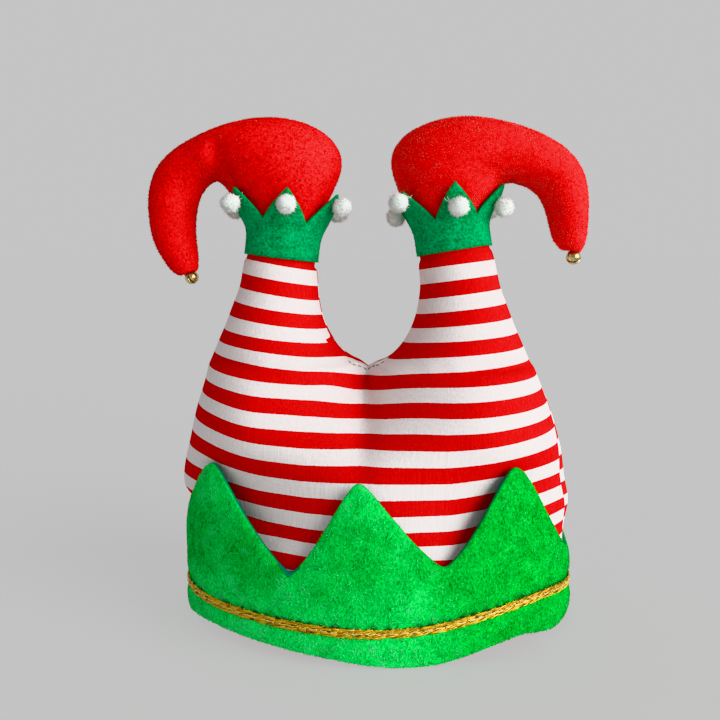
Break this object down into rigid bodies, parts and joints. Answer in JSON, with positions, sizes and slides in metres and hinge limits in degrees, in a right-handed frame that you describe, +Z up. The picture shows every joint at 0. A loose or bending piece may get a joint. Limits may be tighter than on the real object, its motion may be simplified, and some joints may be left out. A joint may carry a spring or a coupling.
{
  "type": "elf legs hat",
  "caption": "Plush costume hat shaped like upturned elf legs: striped crown, zigzag velvet band with gold braid, pompom ankle cuffs and curled shoes with bells.",
  "frame": {"origin": "middle of the bounding box, on the plane the rim rests on", "axes": "+Z up out of the crown, -Y the front, +X to the right seen from the front"},
  "size_m": [0.2546, 0.1728, 0.2896],
  "materials": {
    "stripes": "woven cloth in red and white stripes, matt",
    "velvet": "bright green short-pile velvet",
    "gold": "braid of metallic gold thread",
    "felt": "green felt, matt and slightly fuzzy",
    "plush": "red short-pile plush",
    "brass": "bright brass-coloured metal",
    "fluff": "white fluffy yarn"
  },
  "bodies": {
    "root": {"striped_body": "stripes", "brim_band": "velvet", "gold_trim": "gold", "left_cuff": "felt", "left_shoe": "plush", "left_bell": "brass", "right_cuff": "felt", "right_shoe": "plush", "right_bell": "brass", "left_pompom_1": "fluff", "left_pompom_2": "fluff", "left_pompom_3": "fluff", "left_pompom_4": "fluff", "left_pompom_5": "fluff", "left_pompom_6": "fluff", "right_pompom_1": "fluff", "right_pompom_2": "fluff", "right_pompom_3": "fluff", "right_pompom_4": "fluff", "right_pompom_5": "fluff", "right_pompom_6": "fluff"}
  },
  "joints": []
}
